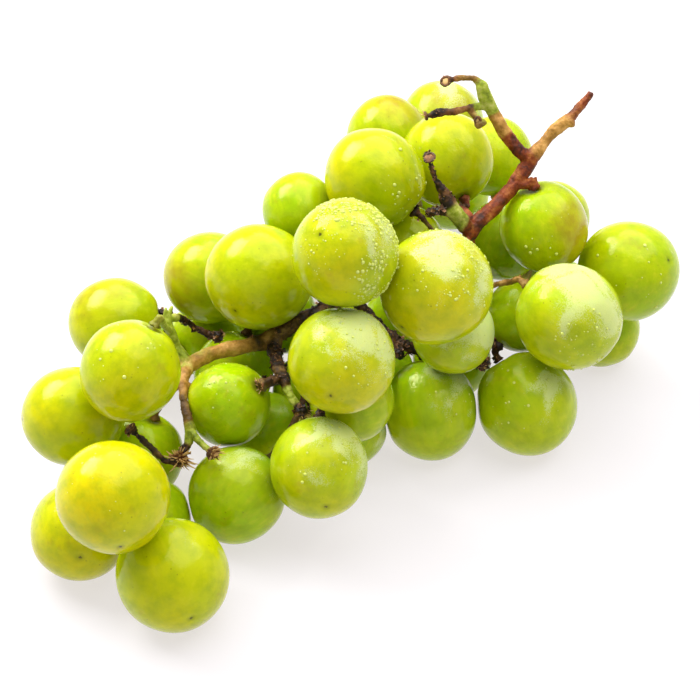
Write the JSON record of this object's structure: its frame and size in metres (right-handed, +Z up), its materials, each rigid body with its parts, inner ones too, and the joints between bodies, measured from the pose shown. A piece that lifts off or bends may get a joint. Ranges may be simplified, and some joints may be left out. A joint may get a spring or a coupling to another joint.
{
  "type": "bunch of grapes",
  "caption": "Bunch of large green table grapes lying on its side, on a branched woody stem with a bare cut end and some stalks whose berries have gone.",
  "frame": {"origin": "on the surface that the bunch lies on, under the middle of its bounding box", "axes": "+X along the bunch towards the cut end of its stem, +Z up from the surface"},
  "size_m": [0.1742, 0.106, 0.0755],
  "materials": {
    "grape_skin": "translucent waxy fruit skin",
    "stem_wood": "dry bark, partly green"
  },
  "bodies": {
    "root": {"stem": "stem_wood", "berry_01": "grape_skin", "berry_02": "grape_skin", "berry_03": "grape_skin", "berry_04": "grape_skin", "berry_05": "grape_skin", "berry_06": "grape_skin", "berry_07": "grape_skin", "berry_08": "grape_skin", "berry_09": "grape_skin", "berry_10": "grape_skin", "berry_11": "grape_skin", "berry_12": "grape_skin", "berry_13": "grape_skin", "berry_14": "grape_skin", "berry_15": "grape_skin", "berry_16": "grape_skin", "berry_17": "grape_skin", "berry_18": "grape_skin", "berry_19": "grape_skin", "berry_20": "grape_skin", "berry_21": "grape_skin", "berry_22": "grape_skin", "berry_23": "grape_skin", "berry_24": "grape_skin", "berry_25": "grape_skin", "berry_26": "grape_skin", "berry_27": "grape_skin", "berry_28": "grape_skin", "berry_29": "grape_skin", "berry_30": "grape_skin", "berry_31": "grape_skin", "berry_32": "grape_skin", "berry_33": "grape_skin", "berry_34": "grape_skin", "berry_35": "grape_skin", "berry_36": "grape_skin", "berry_37": "grape_skin", "berry_38": "grape_skin", "berry_39": "grape_skin", "berry_40": "grape_skin", "berry_41": "grape_skin", "berry_42": "grape_skin", "berry_43": "grape_skin", "berry_44": "grape_skin", "berry_45": "grape_skin", "berry_46": "grape_skin", "berry_47": "grape_skin", "berry_48": "grape_skin", "berry_49": "grape_skin", "berry_50": "grape_skin", "berry_51": "grape_skin"}
  },
  "joints": []
}
